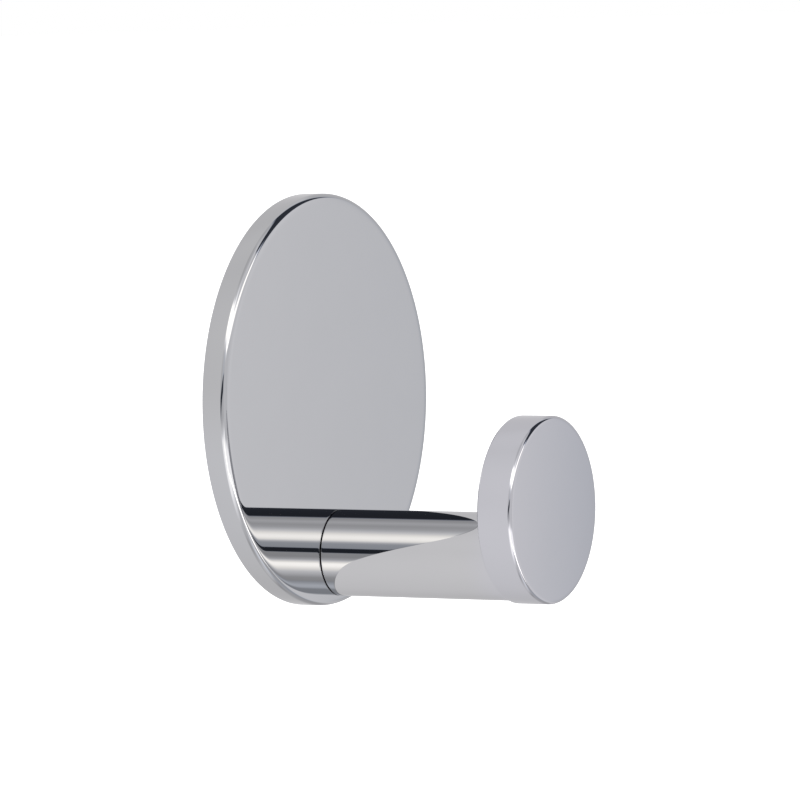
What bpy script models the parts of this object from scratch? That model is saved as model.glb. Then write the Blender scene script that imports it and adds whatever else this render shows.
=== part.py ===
"""Round wall hook that slides down over a base plate held by a stretch-release adhesive strip.

The wall is the plane y = 0, the front of the hook faces -Y, and +Z is up. The origin is on the
strip's wall face, behind the centre of the round plate. Sizes are in metres.
"""

import math

import bmesh
import bpy

MM = 0.001

# Clearances
seat_gap = 0.3 * MM  # between two pieces that are fastened, rest or slide together
bond_gap = 0.05 * MM  # between bonded layers
wall_gap = 0.5 * MM  # from the wall to the rear edge of the round plate
catch_clearance = 0.45 * MM  # from the catches to the round plate's inner face
rail_gap = 0.4 * MM  # from the tips of the catches to the carrier's rails
lip_gap = 0.5 * MM  # from the base plate's edges to the carrier's lips
carrier_wall_gap = 0.75 * MM  # from the wall to the carrier's rails
carrier_edge_gap = 2.0 * MM  # from the carrier's upper corners to the round plate's rim
bumper_wall_gap = 0.05 * MM
bumper_edge_gap = 1.0 * MM  # from the bumpers' bosses to the round plate's rim
bumper_side_gap = 0.5 * MM  # from the bumpers' bosses to the path of the catches

# Adhesive strip
film_thickness = 0.15 * MM
foam_thickness = 0.6 * MM
strip_width = 20.0 * MM
strip_length = 41.0 * MM
strip_corner = 2.0 * MM
strip_top_inset = 0.8 * MM  # below the base plate's top edge
pull_tab_width = 16.0 * MM
pull_tab_corner = 4.0 * MM
pull_tab_inset = 2.2 * MM  # from the tab's end to the round plate's rim

# Base plate, with catches along both edges
base_width = 25.0 * MM
base_height = 35.0 * MM
base_thickness = 1.0 * MM
base_corner = 2.0 * MM
catch_count = 3
catch_pitch = 12.0 * MM
catch_height = 5.4 * MM
catch_reach = 2.4 * MM  # past the base plate's edge
catch_root = 2.0 * MM  # how far a catch reaches over the base plate
catch_thickness = 0.95 * MM
catch_standoff = 0.15 * MM
catch_top_inset = 5.3 * MM  # from the base plate's top edge to the middle of the top catch
foot_inset = 0.25 * MM  # of the foot under a catch, from the catch's sides
foot_sink = 0.25 * MM  # of the foot into the base plate and into the catch

# Slide carrier
rail_width = 2.5 * MM
top_bar_height = 3.5 * MM
carrier_corner = 3.0 * MM
lip_step = 0.15 * MM
ear_radius = 2.9 * MM
ear_flat = 0.1 * MM  # half of the straight stretch at the end of an ear
ear_offset = 3.0 * MM  # from a rail's outer side to the screw
ear_thickness = 0.8 * MM
upper_ear_drop = 11.6 * MM
lower_ear_rise = 3.0 * MM

# Round plate
plate_diameter = 70.0 * MM
front_wall = 1.2 * MM
rim_wall = 1.8 * MM
front_edge_radius = 0.85 * MM
rear_edge_radius = 0.2 * MM
inner_fillet = 0.6 * MM
carrier_boss_radius = 2.5 * MM
carrier_boss_height = 0.9 * MM
boss_floor = 0.6 * MM  # of metal left under the holes of the carrier's bosses
arm_pad_height = 1.0 * MM
arm_pad_margin = 0.85 * MM  # of metal around the countersinks
arm_pad_corner = 1.5 * MM

# Arm with its end disc
arm_diameter = 14.8 * MM
arm_length = 35.1 * MM  # from the round plate's face to the end disc
arm_root_depth = 2.0 * MM  # of the arm inside the end disc
arm_rear_edge_radius = 0.15 * MM
end_disc_diameter = 31.5 * MM
end_disc_thickness = 6.45 * MM
end_disc_front_radius = 0.5 * MM
end_disc_rear_radius = 0.3 * MM
end_disc_inset = 0.9 * MM  # from the round plate's lowest point up to the end disc's
arm_inset = 0.25 * MM  # from the end disc's lowest point up to the arm's

# Screws
arm_screw_offset = 3.8 * MM
arm_screw_diameter = 3.0 * MM
arm_screw_head_diameter = 5.6 * MM
arm_screw_head_rim = 0.25 * MM
arm_screw_length = 8.0 * MM
arm_screw_recess_width = 0.8 * MM
arm_screw_recess_span = 3.0 * MM
arm_screw_recess_depth = 1.0 * MM
arm_hole_end_gap = 0.6 * MM
carrier_screw_diameter = 2.0 * MM
carrier_screw_head_diameter = 4.4 * MM
carrier_screw_head_height = 0.65 * MM
carrier_screw_recess_width = 0.6 * MM
carrier_screw_recess_span = 2.2 * MM
carrier_screw_recess_depth = 0.4 * MM
screw_edge_radius = 0.15 * MM

# Bumpers
bumper_diameter = 5.0 * MM
bumper_thickness = 1.2 * MM
bumper_edge_radius = 0.3 * MM
bumper_boss_margin = 0.3 * MM  # of the boss around the bumper

# Roundness of the mesh
plate_sides = 96
end_disc_sides = 72
arm_sides = 56
small_sides = 24
arc_steps = 5
edge_steps = 3
join_depth = 0.4 * MM  # how far a boss reaches into the wall that it stands on

# Depths from the wall, all negative because the front faces -Y
foam_back = -(film_thickness + bond_gap)
foam_front = foam_back - foam_thickness
plate_film_back = foam_front - bond_gap
plate_film_front = plate_film_back - film_thickness
base_back = plate_film_front - bond_gap
base_front = base_back - base_thickness
catch_back = base_front - catch_standoff
catch_front = catch_back - catch_thickness
inner_face = catch_front - catch_clearance
plate_face = inner_face - front_wall
rim_back = -wall_gap
carrier_boss_face = inner_face + carrier_boss_height
ear_front = carrier_boss_face + seat_gap
ear_back = ear_front + ear_thickness
carrier_screw_seat = ear_back + seat_gap
arm_pad_face = inner_face + arm_pad_height
bumper_front = -(bumper_wall_gap + bumper_thickness)
bumper_boss_face = bumper_front - seat_gap
rail_front = inner_face + seat_gap
rail_back = -carrier_wall_gap
lip_front = catch_back + seat_gap
lip_back = rail_back - lip_step
arm_back = plate_face - seat_gap
end_disc_back = plate_face - arm_length
end_disc_front = end_disc_back - end_disc_thickness

# Places seen from the front
plate_radius = plate_diameter / 2
inner_radius = plate_radius - rim_wall
catch_tip_x = base_width / 2 + catch_reach
rail_inner_x = catch_tip_x + rail_gap
rail_outer_x = rail_inner_x + rail_width
lip_inner_x = base_width / 2 + lip_gap
carrier_corner_reach = inner_radius - carrier_edge_gap
carrier_top = math.sqrt(carrier_corner_reach**2 - rail_outer_x**2)
top_bar_bottom = carrier_top - top_bar_height
base_top = top_bar_bottom - seat_gap
base_bottom = base_top - base_height
catch_heights = [base_top - catch_top_inset - catch_pitch * index for index in range(catch_count)]
rail_bottom = catch_heights[-1] - catch_height / 2 - seat_gap
strip_top = base_top - strip_top_inset
strip_bottom = strip_top - strip_length
pull_tab_end = pull_tab_inset - inner_radius
ear_x = rail_outer_x + ear_offset
ear_heights = {"upper": carrier_top - upper_ear_drop, "lower": rail_bottom + lower_ear_rise}
end_disc_z = -(plate_radius - end_disc_inset - end_disc_diameter / 2)
arm_z = end_disc_z - end_disc_diameter / 2 + arm_inset + arm_diameter / 2
bumper_boss_radius = bumper_diameter / 2 + bumper_boss_margin
bumper_reach = inner_radius - bumper_edge_gap - bumper_boss_radius
bumper_x = catch_tip_x + bumper_side_gap + bumper_boss_radius
bumper_z = -math.sqrt(bumper_reach**2 - bumper_x**2)
sides_of_hook = {"left": -1, "right": 1}


# Shapes

def arc(centre_u, centre_v, radius, start, end, steps=arc_steps):
    """Points of an arc in a plane, from one angle to another in degrees."""
    angles = [math.radians(start + (end - start) * step / steps) for step in range(steps + 1)]
    return [(centre_u + radius * math.cos(a), centre_v + radius * math.sin(a)) for a in angles]


def rounded_rectangle(x_low, x_high, z_low, z_high, radius):
    """Outline of a rectangle with rounded corners, in the plane of the wall."""
    left, right = x_low + radius, x_high - radius
    bottom, top = z_low + radius, z_high - radius
    outline = arc(right, top, radius, 0, 90) + arc(left, top, radius, 90, 180)
    return outline + arc(left, bottom, radius, 180, 270) + arc(right, bottom, radius, 270, 360)


def new_object(name, shape, place=(0, 0, 0)):
    """Object made of a bmesh, with its faces turned outwards and its round faces smooth."""
    bmesh.ops.recalc_face_normals(shape, faces=shape.faces)
    mesh = bpy.data.meshes.new(name)
    shape.to_mesh(mesh)
    shape.free()
    mesh.shade_smooth()
    mesh.set_sharp_from_angle(angle=math.radians(30))
    obj = bpy.data.objects.new(name, mesh)
    obj.location = place
    bpy.context.scene.collection.objects.link(obj)
    return obj


def turned(name, profile, sides, place=(0, 0, 0)):
    """Solid turned about the Y axis from a profile of (radius, y), with a flat face at each end."""
    shape = bmesh.new()
    points = [shape.verts.new((radius, y, 0)) for radius, y in profile]
    edges = [shape.edges.new(pair) for pair in zip(points, points[1:])]
    full_turn = 2 * math.pi
    bmesh.ops.spin(
        shape, geom=points + edges, axis=(0, 1, 0), angle=full_turn, steps=sides, use_merge=True
    )
    rims = [edge for edge in shape.edges if edge.is_boundary]
    bmesh.ops.edgeloop_fill(shape, edges=rims)
    return new_object(name, shape, place)


def extruded(name, outline, back, front, place=(0, 0, 0)):
    """Solid whose outline, points of (x, z), runs along Y from back to front."""
    shape = bmesh.new()
    face = shape.faces.new([shape.verts.new((x, back, z)) for x, z in outline])
    swept = bmesh.ops.extrude_face_region(shape, geom=[face])["geom"]
    moved = [item for item in swept if isinstance(item, bmesh.types.BMVert)]
    bmesh.ops.translate(shape, verts=moved, vec=(0, front - back, 0))
    return new_object(name, shape, place)


def block(name, x_low, x_high, z_low, z_high, back, front):
    """Plain box."""
    outline = [(x_low, z_low), (x_high, z_low), (x_high, z_high), (x_low, z_high)]
    return extruded(name, outline, back, front)


def rod(name, radius, back, front, x, z, sides=small_sides):
    """Plain cylinder along Y."""
    return turned(name, [(radius, front), (radius, back)], sides, (x, 0, z))


def combine(obj, helper, operation):
    """Joins the helper to the object, or cuts it out. The helper itself isn't a piece."""
    helper.hide_render = True
    helper.display_type = "WIRE"
    modifier = obj.modifiers.new(helper.name, "BOOLEAN")
    modifier.operation = operation
    modifier.solver = "EXACT"
    modifier.object = helper


def join(obj, helper):
    combine(obj, helper, "UNION")


def cut(obj, helper):
    combine(obj, helper, "DIFFERENCE")


def finish(obj, body, surface):
    """Gives the piece its material and hangs it on the empty of the body that it moves with."""
    obj.data.materials.append(surface)
    obj.parent = body
    return obj


def new_surface(name, colour, roughness, metallic=0.0):
    surface = bpy.data.materials.new(name)
    surface.use_nodes = True
    shader = surface.node_tree.nodes["Principled BSDF"]
    shader.inputs["Base Color"].default_value = (*colour, 1)
    shader.inputs["Roughness"].default_value = roughness
    shader.inputs["Metallic"].default_value = metallic
    return surface


def new_body(name):
    """Empty on the line along which the hook lifts, behind the round plate's centre."""
    body = bpy.data.objects.new(name, None)
    bpy.context.scene.collection.objects.link(body)
    return body


# Adhesive strip

def strip_outline():
    return rounded_rectangle(-strip_width / 2, strip_width / 2, strip_bottom, strip_top, strip_corner)


def make_strip_wall_film(body, surface):
    """The film against the wall runs on below the foam as the pull tab, which has a round end."""
    half_width, half_tab = strip_width / 2, pull_tab_width / 2
    top_corners = arc(half_width - strip_corner, strip_top - strip_corner, strip_corner, 0, 90)
    top_corners += arc(strip_corner - half_width, strip_top - strip_corner, strip_corner, 90, 180)
    shoulder = strip_bottom + strip_corner
    corner_x, corner_z = half_tab - pull_tab_corner, pull_tab_end + pull_tab_corner
    tab_end = arc(-corner_x, corner_z, pull_tab_corner, 180, 270)
    tab_end += arc(corner_x, corner_z, pull_tab_corner, 270, 360)
    left = [(-half_width, shoulder), (-half_tab, strip_bottom)]
    right = [(half_tab, strip_bottom), (half_width, shoulder)]
    outline = top_corners + left + tab_end + right
    return finish(extruded("strip_wall_film", outline, 0, -film_thickness), body, surface)


def make_strip_foam_core(body, surface):
    return finish(extruded("strip_foam_core", strip_outline(), foam_back, foam_front), body, surface)


def make_strip_plate_film(body, surface):
    film = extruded("strip_plate_film", strip_outline(), plate_film_back, plate_film_front)
    return finish(film, body, surface)


# Base plate

def make_base_plate(body, surface):
    """Web on the strip, with a row of catches along each edge. Each stands on a low foot and
    reaches past the edge, so the carrier's lips fit behind it."""
    half_width = base_width / 2
    outline = rounded_rectangle(-half_width, half_width, base_bottom, base_top, base_corner)
    plate = extruded("base_plate", outline, base_back, base_front)
    root = half_width - catch_root
    foot_back, foot_front = base_front + foot_sink, catch_back - foot_sink
    for side, sign in sides_of_hook.items():
        foot_ends = sorted((sign * (root + foot_inset), sign * (half_width - foot_inset)))
        catch_ends = sorted((sign * root, sign * catch_tip_x))
        for index, height in enumerate(catch_heights):
            low, high = height - catch_height / 2, height + catch_height / 2
            foot_span = (low + foot_inset, high - foot_inset)
            foot_name, catch_name = f"catch_foot_{side}_{index}", f"catch_{side}_{index}"
            join(plate, block(foot_name, *foot_ends, *foot_span, foot_back, foot_front))
            join(plate, block(catch_name, *catch_ends, low, high, catch_back, catch_front))
    return finish(plate, body, surface)


# Slide carrier

def make_slide_carrier(body, surface):
    """Inverted U around the base plate. Its bar rests on the base plate's top edge, its lips catch
    behind the base plate's catches, and its ears take the screws."""
    corner_x, corner_z = rail_outer_x - carrier_corner, carrier_top - carrier_corner
    outline = [(rail_outer_x, rail_bottom)]
    outline += arc(corner_x, corner_z, carrier_corner, 0, 90)
    outline += arc(-corner_x, corner_z, carrier_corner, 90, 180)
    outline += [(-rail_outer_x, rail_bottom), (-rail_inner_x, rail_bottom)]
    outline += [(-rail_inner_x, top_bar_bottom), (rail_inner_x, top_bar_bottom)]
    outline += [(rail_inner_x, rail_bottom)]
    carrier = extruded("slide_carrier", outline, rail_back, rail_front)
    rail_middle = rail_inner_x + rail_width / 2
    ear_corner = ear_radius - ear_flat
    hole_radius = carrier_screw_diameter / 2 + seat_gap
    for side, sign in sides_of_hook.items():
        lip_ends = sorted((sign * lip_inner_x, sign * rail_middle))
        for index, height in enumerate(catch_heights):
            lip_span = (height - catch_height / 2, height + catch_height / 2)
            join(carrier, block(f"lip_{side}_{index}", *lip_ends, *lip_span, lip_back, lip_front))
        ear_ends = sorted((sign * rail_middle, sign * (ear_x + ear_radius)))
        for level, height in ear_heights.items():
            ear_span = (height - ear_radius, height + ear_radius)
            ear = rounded_rectangle(*ear_ends, *ear_span, ear_corner)
            join(carrier, extruded(f"ear_{level}_{side}", ear, ear_back, ear_front))
            name = f"ear_hole_{level}_{side}"
            cut(carrier, rod(name, hole_radius, rail_back, rail_front, sign * ear_x, height))
    return finish(carrier, body, surface)


# Round plate

def make_wall_plate(body, surface):
    """Shallow round shell, open at the back, with bosses inside for the carrier, the arm and the
    bumpers."""
    front_arc = arc(
        plate_radius - front_edge_radius, plate_face + front_edge_radius, front_edge_radius, -90, 0
    )
    rear_arc = arc(
        plate_radius - rear_edge_radius, rim_back - rear_edge_radius, rear_edge_radius,
        0, 90, edge_steps,
    )
    inner_arc = arc(
        inner_radius - inner_fillet, inner_face + inner_fillet, inner_fillet, 0, -90, edge_steps
    )
    profile = [*front_arc, *rear_arc, (inner_radius, rim_back), *inner_arc]
    plate = turned("wall_plate", profile, plate_sides)
    add_carrier_bosses(plate)
    add_arm_pad(plate)
    boss_root = inner_face - join_depth
    for side, sign in sides_of_hook.items():
        name = f"bumper_boss_{side}"
        x = sign * bumper_x
        join(plate, rod(name, bumper_boss_radius, bumper_boss_face, boss_root, x, bumper_z))
    return finish(plate, body, surface)


def add_carrier_bosses(plate):
    """Four low bosses, each with a blind hole for a screw."""
    boss_root = inner_face - join_depth
    hole_bottom = plate_face + boss_floor
    hole_radius = carrier_screw_diameter / 2 + seat_gap
    for side, sign in sides_of_hook.items():
        for level, height in ear_heights.items():
            x = sign * ear_x
            name = f"carrier_boss_{level}_{side}"
            join(plate, rod(name, carrier_boss_radius, carrier_boss_face, boss_root, x, height))
            name = f"carrier_boss_hole_{level}_{side}"
            cut(plate, rod(name, hole_radius, rim_back, hole_bottom, x, height))


def add_arm_pad(plate):
    """Thicker place behind the arm, with a countersunk hole for each of the arm's screws."""
    head_radius = arm_screw_head_diameter / 2
    countersink_radius = head_radius + seat_gap * math.sqrt(2)
    half_height = countersink_radius + arm_pad_margin
    half_width = arm_screw_offset + half_height
    outline = rounded_rectangle(-half_width, half_width, -half_height, half_height, arm_pad_corner)
    root = inner_face - join_depth
    join(plate, extruded("arm_pad", outline, arm_pad_face, root, (0, 0, arm_z)))
    hole_radius = arm_screw_diameter / 2 + seat_gap
    cone_end = arm_pad_face - arm_screw_head_rim - (countersink_radius - hole_radius)
    beyond_face = plate_face - join_depth
    for side, sign in sides_of_hook.items():
        profile = [
            (hole_radius, beyond_face),
            (hole_radius, cone_end),
            (countersink_radius, arm_pad_face - arm_screw_head_rim),
            (countersink_radius, rim_back),
        ]
        place = (sign * arm_screw_offset, 0, arm_z)
        cut(plate, turned(f"arm_screw_hole_{side}", profile, small_sides, place))


# Arm with its end disc

def make_hook_arm(body, surface):
    """One casting: a straight round arm that runs into the lower part of a disc."""
    disc_radius = end_disc_diameter / 2
    front, rear = end_disc_front_radius, end_disc_rear_radius
    front_arc = arc(disc_radius - front, end_disc_front + front, front, -90, 0)
    rear_arc = arc(disc_radius - rear, end_disc_back - rear, rear, 0, 90, edge_steps)
    casting = turned("hook_arm", front_arc + rear_arc, end_disc_sides, (0, 0, end_disc_z))
    arm_radius = arm_diameter / 2
    arm_end = end_disc_back - arm_root_depth
    edge = arm_rear_edge_radius
    edge_arc = arc(arm_radius - edge, arm_back - edge, edge, 0, 90, edge_steps)
    join(casting, turned("arm", [(arm_radius, arm_end), *edge_arc], arm_sides, (0, 0, arm_z)))
    hole_radius = arm_screw_diameter / 2 + seat_gap
    hole_end = arm_pad_face - arm_screw_length - arm_hole_end_gap
    for side, sign in sides_of_hook.items():
        x = sign * arm_screw_offset
        cut(casting, rod(f"arm_hole_{side}", hole_radius, plate_face, hole_end, x, arm_z))
    return finish(casting, body, surface)


# Screws

def cut_cross_recess(screw, name, width, span, depth, head_face, x, z):
    """Cross-shaped driver recess in the middle of a screw's head."""
    near, far = width / 2, span / 2
    quarter = [(far, -near), (far, near), (near, near)]
    turns = [(1, 0), (0, 1), (-1, 0), (0, -1)]
    outline = [(u * c - v * s, u * s + v * c) for c, s in turns for u, v in quarter]
    cut(screw, extruded(name, outline, head_face + depth, head_face - depth, (x, 0, z)))


def make_arm_screw(side, body, surface):
    """Countersunk screw whose flat head is level with the pad that it clamps."""
    x = sides_of_hook[side] * arm_screw_offset
    head_radius, shank_radius = arm_screw_head_diameter / 2, arm_screw_diameter / 2
    cone_start = arm_pad_face - arm_screw_head_rim
    tip = arm_pad_face - arm_screw_length
    profile = [
        (shank_radius - screw_edge_radius, tip),
        (shank_radius, tip + screw_edge_radius),
        (shank_radius, cone_start - (head_radius - shank_radius)),
        (head_radius, cone_start),
        (head_radius, arm_pad_face),
    ]
    name = f"arm_screw_{side}"
    screw = turned(name, profile, small_sides, (x, 0, arm_z))
    width, span, depth = arm_screw_recess_width, arm_screw_recess_span, arm_screw_recess_depth
    cut_cross_recess(screw, f"{name}_recess", width, span, depth, arm_pad_face, x, arm_z)
    return finish(screw, body, surface)


def make_carrier_screw(level, side, body, surface):
    """Short screw whose low round head holds an ear of the carrier on its boss."""
    x, z = sides_of_hook[side] * ear_x, ear_heights[level]
    head_radius, shank_radius = carrier_screw_head_diameter / 2, carrier_screw_diameter / 2
    head_face = carrier_screw_seat + carrier_screw_head_height
    tip = plate_face + boss_floor + seat_gap
    edge = screw_edge_radius
    profile = [
        (shank_radius - edge, tip),
        (shank_radius, tip + edge),
        (shank_radius, carrier_screw_seat),
        (head_radius, carrier_screw_seat),
        *arc(head_radius - edge, head_face - edge, edge, 0, 90, edge_steps),
    ]
    name = f"carrier_screw_{level}_{side}"
    screw = turned(name, profile, small_sides, (x, 0, z))
    width, span = carrier_screw_recess_width, carrier_screw_recess_span
    depth = carrier_screw_recess_depth
    cut_cross_recess(screw, f"{name}_recess", width, span, depth, head_face, x, z)
    return finish(screw, body, surface)


# Bumpers

def make_bumper(side, body, surface):
    """Soft dot with a rounded edge, between its boss and the wall."""
    radius, edge, back = bumper_diameter / 2, bumper_edge_radius, -bumper_wall_gap
    round_edge = arc(radius - edge, back - edge, edge, 0, 90, edge_steps)
    profile = [(radius, bumper_front), *round_edge]
    place = (sides_of_hook[side] * bumper_x, 0, bumper_z)
    return finish(turned(f"bumper_{side}", profile, small_sides, place), body, surface)


# Whole hook

for old in list(bpy.data.objects):
    bpy.data.objects.remove(old, do_unlink=True)

chrome = new_surface("chrome", (0.55, 0.56, 0.58), 0.03, 1.0)
screw_steel = new_surface("screw_steel", (0.50, 0.49, 0.47), 0.3, 1.0)
grey_plastic = new_surface("grey_plastic", (0.30, 0.31, 0.32), 0.5)
white_plastic = new_surface("white_plastic", (0.80, 0.80, 0.78), 0.45)
foam = new_surface("foam", (0.85, 0.85, 0.82), 0.9)
film = new_surface("film", (0.62, 0.66, 0.70), 0.35)
soft_clear = new_surface("soft_clear", (0.75, 0.75, 0.72), 0.25)

wall_mount = new_body("wall_mount")
hook = new_body("hook")

make_strip_wall_film(wall_mount, film)
make_strip_foam_core(wall_mount, foam)
make_strip_plate_film(wall_mount, film)
make_base_plate(wall_mount, white_plastic)
make_slide_carrier(hook, grey_plastic)
make_wall_plate(hook, chrome)
make_hook_arm(hook, chrome)
for side in sides_of_hook:
    make_arm_screw(side, hook, screw_steel)
    make_bumper(side, hook, soft_clear)
    for level in ear_heights:
        make_carrier_screw(level, side, hook, screw_steel)
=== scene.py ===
"""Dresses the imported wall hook: a round chrome plate with an arm and an end disc, which slides down
over a base plate that a stretch-release strip holds on the wall. The wall is y = 0, the front faces
-Y and +Z is up. Sizes are written in millimetres and turned into metres where a piece is made."""
import math
import bpy
import numpy as np
from mathutils import Matrix


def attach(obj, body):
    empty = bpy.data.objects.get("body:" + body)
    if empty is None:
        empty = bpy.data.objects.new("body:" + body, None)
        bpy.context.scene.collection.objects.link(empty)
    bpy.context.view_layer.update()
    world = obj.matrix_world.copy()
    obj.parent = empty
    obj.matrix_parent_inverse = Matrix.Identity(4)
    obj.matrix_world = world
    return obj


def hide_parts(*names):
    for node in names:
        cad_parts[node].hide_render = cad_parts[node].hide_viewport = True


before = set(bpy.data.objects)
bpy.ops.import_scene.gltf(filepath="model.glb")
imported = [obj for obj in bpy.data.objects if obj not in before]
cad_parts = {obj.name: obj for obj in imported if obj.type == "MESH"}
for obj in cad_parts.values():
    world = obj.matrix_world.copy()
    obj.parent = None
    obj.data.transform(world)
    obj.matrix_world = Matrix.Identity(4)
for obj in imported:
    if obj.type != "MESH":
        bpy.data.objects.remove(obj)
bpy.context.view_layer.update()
MM = 0.001


# Strip, film on the wall's side. The thin stretchy film that sticks to the wall and runs on below
# the foam as the pull tab. It is cut from a roll, so its edges are square and barely rounded.

strip_half, strip_low, strip_high, strip_corner = 10.0, -19.975, 21.025, 2.0
tab_half, tab_end, tab_corner = 8.0, -31.0, 4.0
neck_corner, neck_rise = 1.2, 1.9
film_front, film_back, film_edge = -0.15, 0.0, 0.04
film_grain, film_relief = 0.55, 0.012
film_dark, film_light = (0.56, 0.61, 0.66), (0.69, 0.73, 0.76)


class Signal:
    """What comes out of a node's socket. Sums on signals add Math nodes to the same tree."""

    def __init__(self, socket):
        self.socket, self.tree = socket, socket.id_data

    def node(self, kind, sockets=None, output=0, stops=None, **settings):
        """Any node: its settings and its ramp's stops first, then its sockets, by value or link."""
        made = self.tree.nodes.new(kind)
        for name, value in settings.items():
            setattr(made, name, value)
        if stops:
            ramp = made.color_ramp.elements
            for place, _ in stops[2:]:
                ramp.new(place)
            for stop, (place, colour) in zip(ramp, sorted(stops)):
                stop.position, stop.color = place, (*colour, 1.0)
        for key, value in (sockets or {}).items():
            if isinstance(value, Signal):
                self.tree.links.new(value.socket, made.inputs[key])
            else:
                made.inputs[key].default_value = value
        return Signal(made.outputs[output])

    def sum(self, operation, other=0.0, first=None):
        """Math node on this signal and another value, or on a first value and this signal."""
        sockets = {0: self if first is None else first, 1: other if first is None else self}
        return self.node("ShaderNodeMath", sockets, operation=operation)

    def __add__(self, other):
        return self.sum("ADD", other)

    def __sub__(self, other):
        return self.sum("SUBTRACT", other)

    def __rsub__(self, other):
        return self.sum("SUBTRACT", first=other)

    def __mul__(self, other):
        return self.sum("MULTIPLY", other)

    __radd__, __rmul__ = __add__, __mul__

    def soft(self, low, high):
        """0 below low and 1 above high, with an S-shaped rise between them."""
        sockets = {"Value": self, "From Min": low, "From Max": high}
        return self.node("ShaderNodeMapRange", sockets, interpolation_type="SMOOTHSTEP")

    def within(self, low, high, blur):
        """1 between low and high, 0 outside, with an S-shaped change blur wide at each end."""
        risen = self.soft(low - blur / 2, low + blur / 2)
        return risen * (1 - self.soft(high - blur / 2, high + blur / 2))

    def blend(self, low_colour, high_colour):
        """One colour where the signal is 0, the other where it is 1."""
        sockets = {0: self, 6: as_colour(low_colour), 7: as_colour(high_colour)}
        return self.node("ShaderNodeMix", sockets, output=2, data_type="RGBA")

    def noise(self, size, detail=2.0, roughness=0.5):
        """Cloudy pattern on a place signal, whose lumps are size millimetres wide."""
        scale = 1 / (size * MM)
        sockets = {"Vector": self, "Scale": scale, "Detail": detail, "Roughness": roughness}
        return self.node("ShaderNodeTexNoise", sockets)

    def bump(self, height):
        """Relief, height millimetres high where the signal goes from 0 to 1."""
        sockets = {"Height": self, "Distance": height * MM, "Strength": 1.0}
        return self.node("ShaderNodeBump", sockets)

    def axes(self):
        """The x, y and z of a place or a direction."""
        split = self.node("ShaderNodeSeparateXYZ", {0: self}).socket.node
        return [Signal(socket) for socket in split.outputs]


def as_colour(value):
    """A signal as it is, or three numbers with a fourth of 1."""
    return value if isinstance(value, Signal) else (*value, 1.0)


def new_finish(name, **constants):
    """Material with one Principled shader, its constants set on its own sockets. Gives the place
    on the piece, and a function that links what varies over the surface and gives the material."""
    material = bpy.data.materials.new(name)
    material.use_nodes = True
    tree = material.node_tree
    shader = tree.nodes["Principled BSDF"]
    for key, value in constants.items():
        shader.inputs[key.replace("_", " ")].default_value = value
    place = Signal(tree.nodes.new("ShaderNodeTexCoord").outputs["Object"])

    def vary(**signals):
        for key, signal in signals.items():
            tree.links.new(signal.socket, shader.inputs[key.replace("_", " ")])
        return material

    return place, vary


def arc(centre_u, centre_v, radius, start, end, steps):
    """Points of an arc: centre + radius (cos a, sin a), for angles a from start to end."""
    a = np.radians(np.linspace(start, end, steps + 1))
    return np.stack([centre_u + radius * np.cos(a), centre_v + radius * np.sin(a)], 1)


def rounded_rectangle(x_low, x_high, z_low, z_high, radius, steps=6):
    """Outline (x, z), anticlockwise seen from the front, with a quarter arc at each corner."""
    left, right, bottom, top = x_low + radius, x_high - radius, z_low + radius, z_high - radius
    corners = [(right, top, 0), (left, top, 90), (left, bottom, 180), (right, bottom, 270)]
    return np.concatenate([arc(x, z, radius, a, a + 90, steps) for x, z, a in corners])


# A flat begins this many edge radii in from the side, which keeps the edge's shading off it.
flat_start = 1.3


def rounded_levels(front, back, edge, steps=4):
    """Levels (y, inset) of a slab: flat front, quarter-round edge, straight side, quarter-round
    edge, flat back."""
    front_arc = arc(edge, front + edge, edge, -90, -180, steps)[:, ::-1]
    rear_arc = arc(edge, back - edge, edge, 180, 90, steps)[:, ::-1]
    flat = edge * flat_start
    return np.concatenate([[(front, flat)], front_arc, rear_arc, [(back, flat)]])


def slab(outline, levels):
    """Closed solid whose outline is carried through levels (y, inset). On each level every point
    moves inwards along its own normal, the sum of its two edges' normals over 1 plus their dot."""
    ahead = np.roll(outline, -1, 0) - outline
    normal = np.stack([ahead[:, 1], -ahead[:, 0]], 1) / np.linalg.norm(ahead, axis=1)[:, None]
    before = np.roll(normal, 1, 0)
    miter = (normal + before) / (1 + (normal * before).sum(1))[:, None]
    depth, inset = np.asarray(levels).T
    ring = outline[None] - inset[:, None, None] * miter[None]
    depths = np.broadcast_to(depth[:, None], ring.shape[:2])
    vertices = np.stack([ring[..., 0], depths, ring[..., 1]], -1).reshape(-1, 3)
    index = np.arange(len(vertices)).reshape(ring.shape[:2])
    caps = [index[:1], index[-1:, ::-1]]
    return vertices, [strips(index)] + caps


def strips(index):
    """Four-sided faces between neighbouring rows of a grid whose columns go round and close."""
    turned = np.roll(index, -1, 1)
    return np.stack([index[:-1], index[1:], turned[1:], turned[:-1]], -1).reshape(-1, 4)


def new_piece(name, shells, material, body, node, sharp=35):
    """One piece made of closed shells, in millimetres, in the place of its CAD node. Edges that
    turn by more than sharp degrees aren't shaded smooth."""
    vertices, faces, start = [], [], 0
    for points, groups in shells:
        vertices.append(points)
        for group in groups:
            faces += (group + start).tolist()
        start += len(points)
    mesh = bpy.data.meshes.new(name)
    mesh.from_pydata(np.concatenate(vertices) * MM, [], faces)
    mesh.shade_smooth()
    mesh.set_sharp_from_angle(angle=math.radians(sharp))
    mesh.materials.append(material)
    piece = bpy.data.objects.new(name, mesh)
    bpy.context.scene.collection.objects.link(piece)
    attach(piece, body)
    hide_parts(node)


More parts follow.
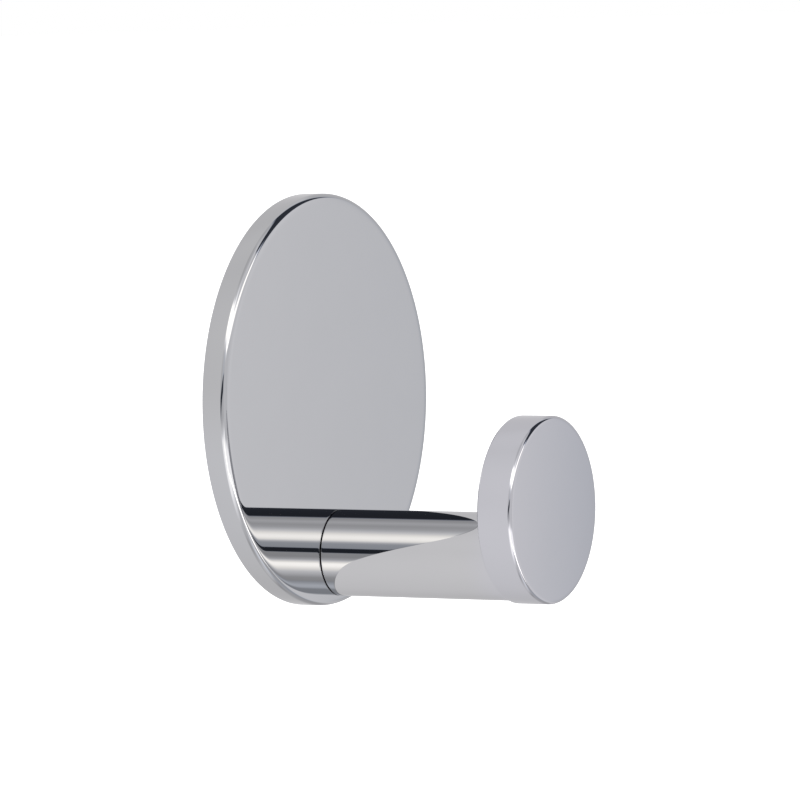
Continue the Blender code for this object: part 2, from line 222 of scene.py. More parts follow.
def film_finish():
    """Milky stretch film, a little cloudy, with the fine crossed grain of its release liner, the
    sine of x + z times the sine of x - z."""
    place, vary = new_finish("stretch_film", IOR=1.49)
    x, _, z = place.axes()
    cloud = place.noise(3.5, 4)
    waves = 2 * math.pi / (film_grain * MM)
    grain = ((x + z) * waves).sum("SINE") * ((x - z) * waves).sum("SINE")
    return vary(
        Base_Color=cloud.blend(film_dark, film_light),
        Roughness=cloud * 0.25 + 0.25,
        Normal=(grain * 0.5 + cloud * 0.6).bump(film_relief),
    )


strip_film = film_finish()
strip_side, strip_top = strip_half - strip_corner, strip_high - strip_corner
neck_side, neck_z = strip_half - neck_corner, strip_low + neck_rise
tab_side, tab_z = tab_half - tab_corner, tab_end + tab_corner
tab_outline = np.concatenate([
    arc(strip_side, strip_top, strip_corner, 0, 90, 6),
    arc(-strip_side, strip_top, strip_corner, 90, 180, 6),
    arc(-neck_side, neck_z, neck_corner, 180, 230, 4),
    arc(-tab_side, tab_z, tab_corner, 180, 270, 8),
    arc(tab_side, tab_z, tab_corner, 270, 360, 8),
    arc(neck_side, neck_z, neck_corner, 310, 360, 4),
])
wall_film = slab(tab_outline, rounded_levels(film_front, film_back, film_edge, 2))
new_piece("pull_tab_film", [wall_film], strip_film, "wall_mount", "strip_wall_film")


# Strip, foam core. Soft white closed-cell foam between the two films, which lets the strip follow
# the wall. It is die-cut with the films, and its squeezed edges bulge a little.

foam_front, foam_back, foam_bulge, foam_flat = -0.8, -0.2, 0.12, 0.25
foam_cell, foam_pit = 0.28, 0.03
foam_dark, foam_light = (0.74, 0.74, 0.70), (0.88, 0.88, 0.85)


def foam_finish():
    """Closed cells a fraction of a millimetre wide, as small round pits in a matt surface."""
    place, vary = new_finish("cell_foam", Roughness=0.9)
    cells = place.node("ShaderNodeTexVoronoi", {"Vector": place, "Scale": 1 / (foam_cell * MM)})
    pits = cells.soft(0.1, 0.55)
    tone = place.noise(2.5, 3)
    return vary(
        Base_Color=(pits * 0.7 + tone * 0.3).blend(foam_dark, foam_light),
        Normal=pits.bump(foam_pit),
    )


strip_outline = rounded_rectangle(-strip_half, strip_half, strip_low, strip_high, strip_corner)
foam_half = (foam_back - foam_front) / 2
turn = np.linspace(0, np.pi, 9)
bulging_y, bulging_inset = foam_front + foam_half * (1 - np.cos(turn)), 1 - np.sin(turn)
bulging = np.stack([bulging_y, foam_bulge * bulging_inset], 1)
foam_levels = np.concatenate([[(foam_front, foam_flat)], bulging, [(foam_back, foam_flat)]])
foam_core = slab(strip_outline, foam_levels)
new_piece("foam_core", [foam_core], foam_finish(), "wall_mount", "strip_foam_core")


# Strip, film on the base plate's side. The same film as on the wall, cut to the foam's outline. It
# is stuck to the back of the base plate, which is wider, and runs on a little below it.

base_film_front, base_film_back = -1.0, -0.85

base_film = slab(strip_outline, rounded_levels(base_film_front, base_film_back, film_edge, 2))
new_piece("base_film", [base_film], strip_film, "wall_mount", "strip_plate_film")


# Base plate. Injection-moulded white ABS web that stays on the wall, with three catches along each
# edge. Each catch stands on a low foot and reaches past the edge, and the hook's lips go behind it.

web_half, web_low, web_high, web_corner = 12.5, -13.175, 21.825, 2.0
web_front, web_back, web_edge = -2.05, -1.05, 0.2
catch_heights = [16.525, 4.525, -7.475]
catch_root, catch_tip, catch_half, catch_corner = 10.5, 14.9, 2.7, 0.5
catch_front, catch_back, catch_edge = -3.15, -2.2, 0.15
foot_inset, foot_corner, foot_sunk = 0.25, 0.3, 0.2
base_pins, base_pin_radius = [(6.5, 16.5), (6.5, 4.5), (6.5, -7.5)], 1.25
base_dark, base_light, base_grain = (0.76, 0.76, 0.74), (0.84, 0.84, 0.82), 0.22


def pin_marks(place, centres, radius):
    """Marks that ejector pins leave, the same on the left and right: 1 on the thin groove round
    each pin's end, half inside it."""
    x, _, z = place.axes()
    half_groove, blur = 0.06, 0.08 * MM
    marks = 0.0
    for centre_x, centre_z in centres:
        beside, above = x.sum("ABSOLUTE") - centre_x * MM, z - centre_z * MM
        away = (beside * beside + above * above).sum("SQRT")
        groove = away.within((radius - half_groove) * MM, (radius + half_groove) * MM, blur)
        marks = groove * 0.5 + away.within(-1, radius * MM, blur) * 0.5 + marks
    return marks


def moulded_finish(name, dark, light, grain_size, pins, pin_radius):
    """Moulded plastic with a fine spark-eroded grain, slow changes of tone and gloss, and the
    smoother marks of the ejector pins."""
    place, vary = new_finish(name, IOR=1.5)
    slow, grain = place.noise(14, 2), place.noise(grain_size, 3, 0.65)
    marks = pin_marks(place, pins, pin_radius)
    return vary(
        Base_Color=(slow * 0.75 + grain * 0.25).blend(dark, light),
        Roughness=slow * 0.12 + grain * 0.1 - marks * 0.08 + 0.34,
        Normal=(grain - marks * 5).bump(0.012),
    )


base_plastic = moulded_finish(
    "white_abs", base_dark, base_light, base_grain, base_pins, base_pin_radius
)
web = rounded_rectangle(-web_half, web_half, web_low, web_high, web_corner)
base_shells = [slab(web, rounded_levels(web_front, web_back, web_edge))]
foot_levels = [(catch_back - foot_sunk, 0), (web_front + foot_sunk, 0)]
catch_levels = rounded_levels(catch_front, catch_back, catch_edge, 3)
for sign in (-1, 1):
    foot_ends = sorted((sign * (catch_root + foot_inset), sign * (web_half - foot_inset)))
    catch_ends = sorted((sign * catch_root, sign * catch_tip))
    for height in catch_heights:
        bottom, top = height - catch_half, height + catch_half
        foot = rounded_rectangle(*foot_ends, bottom + foot_inset, top - foot_inset, foot_corner, 3)
        catch = rounded_rectangle(*catch_ends, bottom, top, catch_corner, 4)
        base_shells += [slab(foot, foot_levels), slab(catch, catch_levels)]
new_piece("wall_base", base_shells, base_plastic, "wall_mount", "base_plate")


# Slide carrier. Moulded grey inverted U inside the round plate. Its bar comes to rest on the base
# plate's top edge, its lips catch behind the catches, and four ears take its screws.

rail_in, rail_out, rail_low, rail_high, bar_low = 15.3, 17.8, -10.475, 25.625, 22.125
rail_front, rail_back, rail_edge = -3.3, -0.75, 0.25
rail_shoulder, rail_crotch, rail_foot = 3.0, 1.0, 0.5
lip_in, lip_corner = 13.0, 0.4
lip_front, lip_back, lip_edge = -1.9, -0.9, 0.18
ear_x, ear_heights, ear_radius, ear_corner = 20.8, [14.025, -7.475], 2.9, 2.8
ear_front, ear_back, ear_edge = -2.4, -1.6, 0.15
rail_middle = (rail_in + rail_out) / 2
carrier_pins = [(rail_middle, 21.3), (rail_middle, 10.5), (rail_middle, -1.5), (6.0, 23.87)]
carrier_pin_radius = 0.75
carrier_dark, carrier_light, carrier_grain = (0.27, 0.28, 0.29), (0.33, 0.34, 0.35), 0.3

carrier_plastic = moulded_finish(
    "grey_abs", carrier_dark, carrier_light, carrier_grain, carrier_pins, carrier_pin_radius
)
shoulder_x, shoulder_z = rail_out - rail_shoulder, rail_high - rail_shoulder
crotch_x, crotch_z = rail_in - rail_crotch, bar_low - rail_crotch
outer_x, inner_x, foot_z = rail_out - rail_foot, rail_in + rail_foot, rail_low + rail_foot
rail_outline = np.concatenate([
    arc(shoulder_x, shoulder_z, rail_shoulder, 0, 90, 8),
    arc(-shoulder_x, shoulder_z, rail_shoulder, 90, 180, 8),
    arc(-outer_x, foot_z, rail_foot, 180, 270, 4),
    arc(-inner_x, foot_z, rail_foot, 270, 360, 4),
    arc(-crotch_x, crotch_z, rail_crotch, 180, 90, 5),
    arc(crotch_x, crotch_z, rail_crotch, 90, 0, 5),
    arc(inner_x, foot_z, rail_foot, 180, 270, 4),
    arc(outer_x, foot_z, rail_foot, 270, 360, 4),
])
carrier_shells = [slab(rail_outline, rounded_levels(rail_front, rail_back, rail_edge))]
lip_levels = rounded_levels(lip_front, lip_back, lip_edge, 3)
ear_levels = rounded_levels(ear_front, ear_back, ear_edge, 3)
for sign in (-1, 1):
    lip_ends = sorted((sign * lip_in, sign * rail_middle))
    ear_ends = sorted((sign * rail_middle, sign * (ear_x + ear_radius)))
    for height in catch_heights:
        bottom, top = height - catch_half, height + catch_half
        lip = rounded_rectangle(*lip_ends, bottom, top, lip_corner, 4)
        carrier_shells.append(slab(lip, lip_levels))
    for height in ear_heights:
        bottom, top = height - ear_radius, height + ear_radius
        ear = rounded_rectangle(*ear_ends, bottom, top, ear_corner, 10)
        carrier_shells.append(slab(ear, ear_levels))
new_piece("carrier", carrier_shells, carrier_plastic, "hook", "slide_carrier")


# Round plate. Shallow shell of die-cast zinc, polished and chrome-plated outside, where its face
# rolls off softly into a rounded edge. Inside it keeps the duller skin of the casting, with bosses
# for the carrier's screws and the bumpers, and a thicker pad behind the arm.

plate_radius, plate_face, plate_sides = 35.0, -4.8, 288
edge_radius, roll_start, roll_drop = 0.88, 32.4, 0.033
rim_back, rim_edge, mouth_edge = -0.5, 0.25, 0.2
inner_radius, inner_face, inner_corner, floor_inset = 33.2, -3.6, 0.6, 0.9
boss_radius, boss_face, boss_edge, boss_sides = 2.5, -2.7, 0.25, 48
bumper_x, bumper_z, bumper_boss_radius, bumper_boss_face = 18.2, -23.09, 2.8, -1.55
arm_z, pad_face, pad_half_x, pad_half_z = -26.45, -2.6, 7.87, 4.07
pad_corner, pad_edge, pad_flat = 1.5, 0.25, 0.4
foot_fillet, foot_depth = 0.3, 0.4
arm_screw_x, sink_radius, sink_rim, sink_floor = 3.8, 3.22, 0.25, -3.58
plate_pins, plate_pin_radius = [(27.5, 3.3), (9.5, 29.2), (12.6, -18.6)], 1.6
plate_dark, plate_light = (0.541, 0.549, 0.562), (0.557, 0.564, 0.578)
# Painted shade: the chrome of the plate's round side is coloured darker than its face.
side_shaded_dark, side_shaded_light = (0.506, 0.511, 0.514), (0.521, 0.525, 0.528)
casting_grey = (0.38, 0.385, 0.39)


def lathe(radius, depth, sides, x=0.0, z=0.0):
    """Surface turned about a line along Y: each profile point (r, y) goes round the circle
    (x + r cos t, y, z + r sin t). The first and last points are on the line, and r may also
    change with the angle t."""
    angle = np.linspace(0, 2 * np.pi, sides, endpoint=False)
    radius, depth = np.asarray(radius), np.asarray(depth)
    radius = radius if radius.ndim == 2 else np.repeat(radius[:, None], sides, 1)
    ring = radius[1:-1]
    rows = np.broadcast_to(depth[1:-1, None], ring.shape)
    points = np.stack([x + ring * np.cos(angle), rows, z + ring * np.sin(angle)], -1).reshape(-1, 3)
    index = np.arange(len(points)).reshape(ring.shape)
    ends = np.array([[x, depth[0], z], [x, depth[-1], z]])
    first, last = index[0], index[-1]
    front_fan = np.stack([np.full(sides, len(points)), first, np.roll(first, -1)], 1)
    rear_fan = np.stack([last, np.full(sides, len(points) + 1), np.roll(last, -1)], 1)
    return np.concatenate([points, ends]), [strips(index), front_fan, rear_fan]


def softened_face(outer, face, edge, start, drop, crown=0.0):
    """Profile (r, y) of a face from its middle to its side: y = face + crown (r / start)^2, and
    past start it also drops with the fifth power of the way to a round edge. The round edge goes on
    with the slope where they meet and ends at the outer radius."""
    lean = math.atan(5 * drop / (outer - start - edge) + 2 * crown / start)
    end = outer - edge * (1 - math.sin(lean))
    flat = np.linspace(0, start, 24)
    way = np.linspace(0, 1, 25)[1:]
    roll = face + crown * ((start + way * (end - start)) / start) ** 2 + drop * way**5
    tilt = np.linspace(lean, np.pi / 2, 25)[1:]
    low = roll[-1] + edge * math.cos(lean)
    r = np.concatenate([flat, start + way * (end - start), outer - edge + edge * np.sin(tilt)])
    y = np.concatenate([face + crown * (flat / start) ** 2, roll, low - edge * np.cos(tilt)])
    return np.stack([r, y], 1)


def boss(radius, face, x, z):
    """Low round boss on the shell's inner face, with a rounded top and a small fillet at its foot.
    It starts inside the shell's wall."""
    flat = radius - boss_edge * flat_start
    top = arc(radius - boss_edge, face - boss_edge, boss_edge, 90, 0, 4)
    foot = arc(radius + foot_fillet, inner_face + foot_fillet, foot_fillet, 180, 270, 4)
    sunk = inner_face - foot_depth
    start, end = [(0, face), (flat, face)], [(radius + foot_fillet, sunk), (0, sunk)]
    profile = np.concatenate([start, top, foot, end])[::-1]
    return lathe(*profile.T, boss_sides, x, z)


def countersunk_pad():
    """Pad behind the arm with a countersink for each of its screws. Its rounded outline, each side
    cut in equal parts, is carried up its walls. A line down the middle of its face splits the
    outline into two loops, and each loop shrinks straight onto its screw's circle, then follows the
    countersink: an upright rim, a cone of 45 degrees, and a floor."""
    parts, corner_points, line_points = 8, 7, 12
    low, high = arm_z - pad_half_z, arm_z + pad_half_z
    outline = rounded_rectangle(-pad_half_x, pad_half_x, low, high, pad_corner, corner_points - 1)
    middle = [corner_points, 3 * corner_points]
    outline = np.insert(outline, middle, [(0, high), (0, low)], 0)
    share = (np.arange(parts) / parts)[None, :, None]
    outline = outline[:, None] + share * (np.roll(outline, -1, 0) - outline)[:, None]
    outline = outline.reshape(-1, 2)
    foot = arc(-foot_fillet, inner_face + foot_fillet, foot_fillet, 270, 360, 4)[:, ::-1]
    top = arc(pad_edge, pad_face - pad_edge, pad_edge, 180, 90, 4)[:, ::-1]
    sunk, flat = [(inner_face - foot_depth, -foot_fillet)], [(pad_face, pad_flat)]
    points, (walls, bottom, _) = slab(outline, np.concatenate([sunk, foot, top, flat]))
    face = np.arange(len(points) - len(outline), len(points))
    line_z = np.linspace(high - pad_flat, low + pad_flat, line_points + 2)[1:-1]
    line = len(points) + np.arange(line_points)
    line_x, line_y = np.zeros(line_points), np.full(line_points, pad_face)
    points = np.concatenate([points, np.stack([line_x, line_y, line_z], 1)])
    groups = [walls, bottom]
    start, end = corner_points * parts, (3 * corner_points + 1) * parts
    left = np.concatenate([face[start:end + 1], line[::-1]])
    right = np.concatenate([face[end:], face[:start + 1], line])
    cone = sink_radius - (pad_face - sink_rim - sink_floor)
    radius = np.array([sink_radius, sink_radius, cone])[:, None, None]
    depth = np.array([pad_face, pad_face - sink_rim, sink_floor])
    for centre, loop in ((-arm_screw_x, left), (arm_screw_x, right)):
        away = points[loop][:, [0, 2]] - (centre, arm_z)
        away = away / np.linalg.norm(away, axis=1)[:, None]
        ring = (centre, arm_z) + radius * away[None]
        depths = np.broadcast_to(depth[:, None], ring.shape[:2])
        added = np.stack([ring[..., 0], depths, ring[..., 1]], -1).reshape(-1, 3)
        index = len(points) + np.arange(len(added)).reshape(ring.shape[:2])
        points = np.concatenate([points, added])
        groups += [strips(np.concatenate([loop[None], index])), index[-1:, ::-1]]
    return points, groups


def chrome_finish(name, dark, light, painted_dark, painted_light, apart, inside=False):
    """Bright chrome plate with a trace of polishing haze and waviness, between the colours dark and
    light. Where apart(x, y, z) is 1 it takes the two painted colours instead: painted shade on the
    plate's round side, and painted light, lighter and bluer, on the disc. Inside the round plate the
    chrome lies over the casting's own skin, which is rougher, greyer and faintly pitted, with the
    marks of ejector pins."""
    place, vary = new_finish(name, Metallic=1.0)
    haze, wave = place.noise(9, 3), place.noise(7, 1)
    x, y, z = place.axes()
    # Painted light and shade: where apart is 1 the painted colours take over.
    colour = apart(x, y, z).blend(haze.blend(dark, light), haze.blend(painted_dark, painted_light))
    roughness, relief = haze * 0.02 + 0.006, wave * 0.003
    if inside:
        reach = (x * x + z * z).sum("SQRT")
        hidden = y.soft((inner_face - 0.5) * MM, (inner_face - 0.3) * MM)
        hidden = hidden * (1 - reach.soft((inner_radius + 0.1) * MM, (inner_radius + 0.5) * MM))
        skin, flow = place.noise(0.5, 4, 0.6), place.noise(6, 3, 0.6)
        marks = hidden * pin_marks(place, plate_pins, plate_pin_radius)
        colour = (hidden * (flow * 0.6 + 0.5)).blend(colour, casting_grey)
        roughness = roughness + hidden * (skin * 0.12 + flow * 0.1 + 0.16)
        relief = relief + hidden * skin * 0.05 - marks * 0.06
    return vary(Base_Color=colour, Roughness=roughness, Normal=relief.bump(1.0))


def plate_side_painted_darker(x, y, z):
    """Painted shade: 1 on the round side of the plate, which is coloured darker there, and 0 on its
    face, but only a trace on the band of the side that lies just below the plate's middle."""
    reach = (x * x + z * z).sum("SQRT")
    side = reach.soft((plate_radius - 0.3) * MM, (plate_radius - 0.1) * MM)
    side = side * y.soft((plate_face + 0.5) * MM, (plate_face + 0.8) * MM)
    return side * (1 - z.within(-22 * MM, 2 * MM, 14 * MM) * 0.85)


plate_front = softened_face(plate_radius, plate_face, edge_radius, roll_start, roll_drop)
plate_rear = arc(plate_radius - rim_edge, rim_back - rim_edge, rim_edge, 0, 90, 6)
plate_mouth = arc(inner_radius + mouth_edge, rim_back - mouth_edge, mouth_edge, 90, 180, 4)
corner_r, corner_y = inner_radius - inner_corner, inner_face + inner_corner
plate_corner = arc(corner_r, corner_y, inner_corner, 0, -90, 8)
floor_r = np.linspace(inner_radius - floor_inset, 0, 12)
plate_floor = np.stack([floor_r, np.full(12, inner_face)], 1)
plate_profile = np.concatenate([plate_front, plate_rear, plate_mouth, plate_corner, plate_floor])
plate_shells = [lathe(*plate_profile.T, plate_sides)]
for sign in (-1, 1):
    for height in ear_heights:
        plate_shells.append(boss(boss_radius, boss_face, sign * ear_x, height))
    plate_shells.append(boss(bumper_boss_radius, bumper_boss_face, sign * bumper_x, bumper_z))
plate_shells.append(countersunk_pad())
plate_chrome = chrome_finish(
    "plate_chrome", plate_dark, plate_light, side_shaded_dark, side_shaded_light, plate_side_painted_darker, inside=True
)
new_piece("round_plate", plate_shells, plate_chrome, "hook", "wall_plate", sharp=50)


# Arm with its end disc. One zinc casting, polished and chrome-plated: a straight round arm that
# runs into the lower part of a disc. The disc's face is slightly crowned by the polishing, and the
# fillet between them is widest on top, where the arm is furthest from the disc's edge.

arm_radius, arm_back, arm_heel, arm_sides = 7.4, -4.93, 0.1, 192
disc_radius, disc_z, disc_back, disc_front, disc_sides = 15.75, -18.35, -39.9, -46.35, 288
disc_edge, disc_roll, disc_drop, disc_crown = 0.6, 14.4, 0.015, 0.12
disc_rear_edge, disc_rear_inset = 0.3, 0.45
fillet_height, fillet_narrow, fillet_wide = 0.6, 0.12, 0.6
straight_start, straight_end, arm_root, root_radius = -39.2, -5.33, 2.0, 6.4
# Painted light: the arm's chrome is coloured a little lighter than the plate's, and the disc's
# lighter and bluer still, as if more light reached the front.
arm_dark, arm_light = (0.566, 0.567, 0.570), (0.582, 0.582, 0.585)
disc_lit_dark, disc_lit_light = (0.582, 0.584, 0.613), (0.598, 0.600, 0.629)


def disc_painted_lighter(x, y, z):
    """Painted light: 1 on the disc, which is coloured lighter and bluer there, fading to 0 along the
    last part of the arm. Only y counts.
    """
    return 1 - y.soft(disc_back * MM, (disc_back + 9) * MM)


disc_face = softened_face(disc_radius, disc_front, disc_edge, disc_roll, disc_drop, disc_crown)
rear_r, rear_y = disc_radius - disc_rear_edge, disc_back - disc_rear_edge
disc_rear = arc(rear_r, rear_y, disc_rear_edge, 0, 90, 6)
disc_rear_r = np.linspace(disc_radius - disc_rear_inset, 0, 8)
disc_floor = np.stack([disc_rear_r, np.full(8, disc_back)], 1)
disc_profile = np.concatenate([disc_face, disc_rear, disc_floor])
disc = lathe(*disc_profile.T, disc_sides, z=disc_z)

turn = np.linspace(0, 2 * np.pi, arm_sides, endpoint=False)
fillet_width = fillet_narrow + (fillet_wide - fillet_narrow) / 2 * (1 + np.sin(turn))
fillet = np.linspace(0, np.pi / 2, 9)[::-1]
flare = arm_radius + fillet_width[None] * (1 - np.cos(fillet))[:, None]
fillet_depth = disc_back + fillet_height * (1 - np.sin(fillet))
straight = np.linspace(straight_start, straight_end, 12)
heel = arc(arm_radius - arm_heel, arm_back - arm_heel, arm_heel, 0, 90, 6)
point = np.zeros((1, arm_sides))
rows = [point, flare[:1], flare, np.full((12, arm_sides), arm_radius)]
rows += [np.repeat(heel[:, :1], arm_sides, 1), np.full((1, arm_sides), root_radius), point]
root_depth = [disc_back - arm_root, disc_back - arm_root]
arm_depth = np.concatenate([root_depth, fillet_depth, straight, heel[:, 1], [arm_back, arm_back]])
arm = lathe(np.concatenate(rows), arm_depth, arm_sides, z=arm_z)
arm_chrome = chrome_finish("arm_chrome", arm_dark, arm_light, disc_lit_dark, disc_lit_light, disc_painted_lighter)
new_piece("arm_and_disc", [disc, arm], arm_chrome, "hook", "hook_arm", sharp=50)


# Arm screws and carrier screws. Machine screws of zinc-plated steel with cross recesses: two,
# countersunk, go through the plate's pad into the arm, so it can't turn, and four hold the carrier.

def screw_finish():
    """Zinc-plated steel: a grainy sheen, with patches where the plating is lighter."""
    place, vary = new_finish("zinc_plating", Metallic=1.0)
    grain, patch = place.noise(0.35, 4, 0.6), place.noise(2.2, 2)
    return vary(
        Base_Color=patch.blend((0.46, 0.45, 0.43), (0.56, 0.55, 0.52)),
        Roughness=grain * 0.14 + patch * 0.08 + 0.1,
        Normal=grain.bump(0.004),
    )


screw_steel = screw_finish()
for node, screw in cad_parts.items():
    if "screw" in node:
        screw.data.materials.clear()
        screw.data.materials.append(screw_steel)


# Bumpers. Two soft dots of clear rubber, stuck to their bosses low in the plate, which keep the
# hook square to the wall.

bumper_radius, bumper_tip, bumper_base, bumper_edge = 2.5, -0.05, -1.25, 0.3
dimple_radius, dimple_depth = 1.2, 0.002


def bumper_finish():
    """Milky rubber, a little cloudy inside, with dust caught on its tacky surface."""
    place, vary = new_finish("clear_rubber", IOR=1.45, Coat_Weight=0.3, Coat_Roughness=0.1)
    cloud, dust = place.noise(1.8, 3), place.noise(0.25, 4, 0.7)
    return vary(
        Base_Color=cloud.blend((0.68, 0.68, 0.64), (0.78, 0.78, 0.75)),
        Roughness=dust * 0.3 + 0.15,
        Normal=dust.bump(0.006),
    )


soft_clear = bumper_finish()
dome = arc(bumper_radius - bumper_edge, bumper_tip - bumper_edge, bumper_edge, 90, 0, 6)
tip = [(0, bumper_tip), (dimple_radius, bumper_tip - dimple_depth)]
bumper_profile = np.concatenate([tip, dome, [(bumper_radius, bumper_base), (0, bumper_base)]])
for side, sign in (("left", -1), ("right", 1)):
    dot = lathe(*bumper_profile[::-1].T, boss_sides, sign * bumper_x, bumper_z)
    new_piece(f"bumper_dot_{side}", [dot], soft_clear, "hook", f"bumper_{side}")


# Studio. Nothing here is part of the object. A pale floor lies below the hook, soft lamps light
# it evenly, and the mirrors see a white room with reflectors, a black panel, the opening that the
# camera looks through, and a lamp stand. Heights, places and sizes of the studio are in metres.

floor_height, floor_reach = -0.30, 4.0
floor_glow, room_level = 0.8, 0.75
front_level, upper_level, lower_level, strip_level = 0.8, 1.2, 1.5, 3.0
panel_dark, opening_dark, stand_dark, upright_dark = 0.945, 0.94, 0.5, 0.24
stand_direction = (0.62, -0.775, -0.125)
lamps = {
    "key": ((-0.7, -0.8, 0.8), 0.8, 6.0),
    "fill": ((0.9, -0.6, 0.3), 0.8, 4.0),
    "rear": ((0.2, 1.0, 0.6), 0.9, 4.2),
}

# How bright the room is by the angle round the arm: 0 is the left side, 90 above, -90 below. The
# ramp holds each level as a share of the top one.
ring_levels = [
    (-180, 0.86), (-146, 0.86), (-137, 0.48), (-107, 0.58), (-98, 1.02), (-90, 1.07), (-82, 0.87),
    (-74, 0.66), (-61, 0.74), (-43, 1.38), (-37, 1.86), (-31, 2.33), (-26, 2.70), (-20, 2.73),
    (-15, 1.9), (-9, 0.98), (-2, 0.66), (20, 0.68), (34, 0.78), (38.5, 1.10), (41.5, 1.75),
    (45, 2.25), (50, 2.53), (55, 2.48), (61, 2.14), (67, 1.63), (73, 1.20), (79, 0.93),
    (88, 0.80), (99, 1.00), (110, 0.74), (180, 0.86),
]
ring_top = 3.0


def seen_directly(start):
    """1 where the camera, a mirror or a clear body looks at the studio, 0 where it only lights."""
    path = start.node("ShaderNodeLightPath").socket.node
    camera, glossy, clear = [
        Signal(path.outputs[f"Is {kind} Ray"]) for kind in ("Camera", "Glossy", "Transmission")
    ]
    return camera.sum("MAXIMUM", glossy).sum("MAXIMUM", clear)


def new_floor():
    """Pale paper that takes the hook's shadow. The mirrors see the room instead of it, and from
    below it is clear."""
    mesh = bpy.data.meshes.new("floor")
    corners = [(-1, -1), (1, -1), (1, 1), (-1, 1)]
    corners = [(x * floor_reach, y * floor_reach, floor_height) for x, y in corners]
    mesh.from_pydata(corners, [], [(0, 1, 2, 3)])
    material = bpy.data.materials.new("floor")
    material.use_nodes = True
    tree = material.node_tree
    start = Signal(tree.nodes.new("ShaderNodeTexCoord").outputs["Object"])
    paper = start.noise(40, 3).blend((0.85, 0.85, 0.85), (0.88, 0.88, 0.88))
    matt = start.node("ShaderNodeBsdfDiffuse", {"Color": paper})
    glow = start.node("ShaderNodeEmission", {"Color": (1, 1, 1, 1), "Strength": floor_glow})
    lit = start.node("ShaderNodeAddShader", {0: matt, 1: glow})
    seen = start.node("ShaderNodeMixShader", {0: seen_directly(start), 1: matt, 2: lit})
    clear = start.node("ShaderNodeBsdfTransparent")
    below = Signal(tree.nodes.new("ShaderNodeNewGeometry").outputs["Backfacing"])
    both = start.node("ShaderNodeMixShader", {0: below, 1: seen, 2: clear})
    tree.links.new(both.socket, tree.nodes["Material Output"].inputs["Surface"])
    mesh.materials.append(material)
    floor = bpy.data.objects.new("floor", mesh)
    bpy.context.scene.collection.objects.link(floor)
    floor.visible_glossy = False


def studio_light(start):
    """Light that the mirrors see, by direction: a plain front with the ring of levels round the
    arm's axis, reflectors above and below it and a thin strip of light, and an even rear that
    falls off to the right. The black panel, the camera's opening and the stand darken these."""
    direction = Signal(start.tree.nodes.new("ShaderNodeTexCoord").outputs["Generated"])
    x, y, z = direction.axes()
    around = z.sum("ARCTAN2", x * -1) * (180 / math.pi)
    forward = y * -1

    # The ring. It is plain beside the hook from 61 to 96 degrees, the far right has a level of its
    # own, and low down it is held to 1.5 but for one belt ahead.
    stops = [((angle + 180) / 360, (level / ring_top,) * 3) for angle, level in ring_levels]
    ring = start.node("ShaderNodeValToRGB", {0: around * (1 / 360) + 0.5}, stops=stops)
    ring = ring.axes()[0] * ring_top
    beside = around.within(61, 96, 10) * y.soft(-0.50, -0.36)
    ring = ring * (1 - beside) + beside * 0.88
    right = (0.85 - (y + 0.4975) * 2.1).sum("MAXIMUM", 0.66).sum("MINIMUM", 0.95)
    on_right = x.soft(0.78, 0.86)
    ring = ring * (1 - on_right) + right * on_right
    ring = ring.sum("MINIMUM", y.within(-0.58, -0.42, 0.08) * 2 + z.soft(-0.05, 0.05) * 2 + 1.5)

    # The front. Straight ahead the ring gives way to a plain level, with the reflectors and strip.
    on_ring = (1 - y * y).sum("SQRT").soft(0.45, 0.62)
    ahead = forward.soft(0.68, 0.78)
    on_left = 1 - x.soft(0.5, 0.6)
    upper = (z + x * 0.3).within(0.28, 0.50, 0.08) * ahead
    lower = z.within(-0.53, -0.2, 0.08) * on_left * ahead
    strip = z.within(-0.475, -0.435, 0.02) * on_left * forward.soft(0.60, 0.70)
    front = ring * on_ring + front_level * (1 - on_ring) + upper * upper_level
    front = front * (1 - lower) + lower * lower_level + strip * strip_level

    # The rear, darker to the right and most of all low on the right, and a little lighter high up.
    to_right = x.sum("MAXIMUM", 0.0)
    low_right = to_right * to_right * (z * -1).sum("MAXIMUM", 0.0)
    rear = 0.81 - x * 0.11 - z * 0.04 - low_right * 0.40 + z.soft(0.2, 0.8) * 0.06
    rear = rear + z.soft(0.68, 0.82) * x.soft(-0.1, 0.25) * 0.04
    at_rear = y.soft(0.0, 0.42)
    level = rear * at_rear + front * (1 - at_rear)

    # What is dark: straight up and down, the panel, the camera's opening and the stand.
    upright = z.sum("ABSOLUTE").soft(0.88, 0.97)
    lean = ((y + 0.49) * 48).sum("MINIMUM", 0.0)
    panel = (around - lean).soft(113, 120) * (x + z * 0.68).soft(0.72, 0.76) * z.soft(0.04, 0.11)
    panel = panel * y.soft(-0.80, -0.72) * (1 - (y + x * 1.2).soft(0.58, 0.72))
    opening = (around + (y + 0.49) * 19).within(9.5, 21.3, 2.5) * y.within(-0.72, 0.12, 0.1)
    vectors = {0: direction, 1: stand_direction}
    apart = direction.node("ShaderNodeVectorMath", vectors, 1, operation="DISTANCE")
    stand = 1 - apart.soft(0.03, 0.07)
    level = level * (1 - upright * upright_dark) * (1 - panel * panel_dark)
    level = level * (1 - opening * opening_dark) * (1 - stand * stand_dark)

    # Its colour: cool in parts of the ring, warm where it is bright, and blue in the darks.
    cool = around.within(-146, -74, 10) + around.within(20, 36, 5)
    cool = (cool + on_right * y.soft(-0.52, -0.40) * 0.7) * y.within(-0.60, -0.38, 0.08)
    tint = cool.blend((1.0, 0.99, 1.017), (0.96, 0.99, 1.07))
    tint = level.soft(1.1, 2.2).blend(tint, (1.02, 0.98, 0.93))
    tint = panel.sum("MAXIMUM", opening).blend(tint, (0.90, 1.0, 1.3))
    return start.node("ShaderNodeVectorMath", {0: tint, "Scale": level}, operation="SCALE")


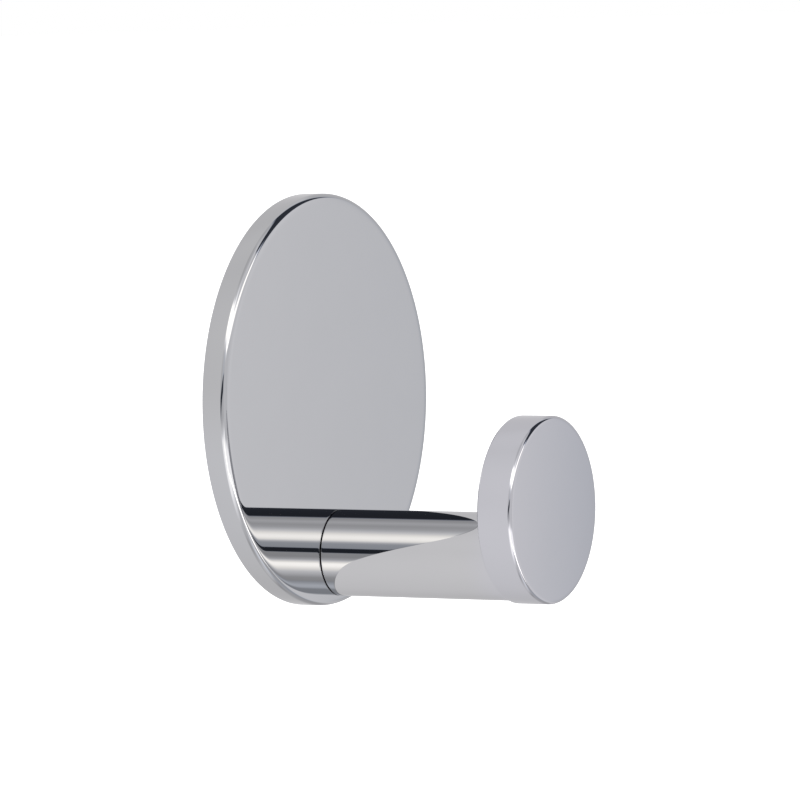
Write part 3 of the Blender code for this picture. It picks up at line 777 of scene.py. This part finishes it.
new_floor()
world = bpy.data.worlds.new("studio")
world.use_nodes = True
bpy.context.scene.world = world
world.node_tree.nodes.clear()
camera_ray = Signal(world.node_tree.nodes.new("ShaderNodeLightPath").outputs["Is Camera Ray"])
glossy_ray = Signal(camera_ray.socket.node.outputs["Is Glossy Ray"])
pure = (1, 1, 1, 1)
plain = camera_ray.node("ShaderNodeBackground", {"Color": pure, "Strength": room_level})
white = camera_ray.node("ShaderNodeBackground", {"Color": pure, "Strength": 1.0})
light = {"Color": studio_light(camera_ray), "Strength": 1.0}
mirrored = camera_ray.node("ShaderNodeBackground", light)
seen = seen_directly(camera_ray)
shown = camera_ray.node("ShaderNodeMixShader", {0: seen, 1: plain, 2: white})
shown = camera_ray.node("ShaderNodeMixShader", {0: glossy_ray, 1: shown, 2: mirrored})
shown = camera_ray.node("ShaderNodeMixShader", {0: camera_ray, 1: shown, 2: white})
output = world.node_tree.nodes.new("ShaderNodeOutputWorld")
world.node_tree.links.new(shown.socket, output.inputs["Surface"])


def aim(obj, place, target, roll=0.0):
    """Puts a lamp or the camera at a place and turns it to a target: its own -Z looks there, and
    roll turns it about that line."""
    back = np.subtract(place, target) / np.linalg.norm(np.subtract(place, target))
    right = np.cross((0, 0, 1), back)
    right = right / np.linalg.norm(right)
    up = np.cross(back, right)
    turned = math.cos(roll) * right + math.sin(roll) * up
    matrix = np.eye(4)
    matrix[:3] = np.stack([turned, np.cross(back, turned), back, place], 1)
    obj.matrix_world = Matrix(matrix.tolist())
    bpy.context.scene.collection.objects.link(obj)


for name, (place, size, power) in lamps.items():
    light = bpy.data.lights.new(name, "AREA")
    light.size, light.energy = size, power
    lamp = bpy.data.objects.new(name, light)
    lamp.visible_camera = lamp.visible_glossy = False
    aim(lamp, place, (0, -0.02, 0))

# The camera, as fitted to the outlines of the plate, the arm and the disc.
camera_data = bpy.data.cameras.new("camera")
camera_data.lens, camera_data.sensor_width = 233.48, 36.0
camera = bpy.data.objects.new("camera", camera_data)
azimuth, elevation, roll = np.radians((-60.78, 8.67, -4.292))
distance, target = 0.87456, np.array((-0.194, -18.53, 0.061)) * MM
back = np.array((
    math.sin(azimuth) * math.cos(elevation),
    -math.cos(azimuth) * math.cos(elevation),
    math.sin(elevation),
))
aim(camera, target + back * distance, target, roll)
bpy.context.scene.camera = camera
bpy.context.scene.view_settings.view_transform = "Standard"
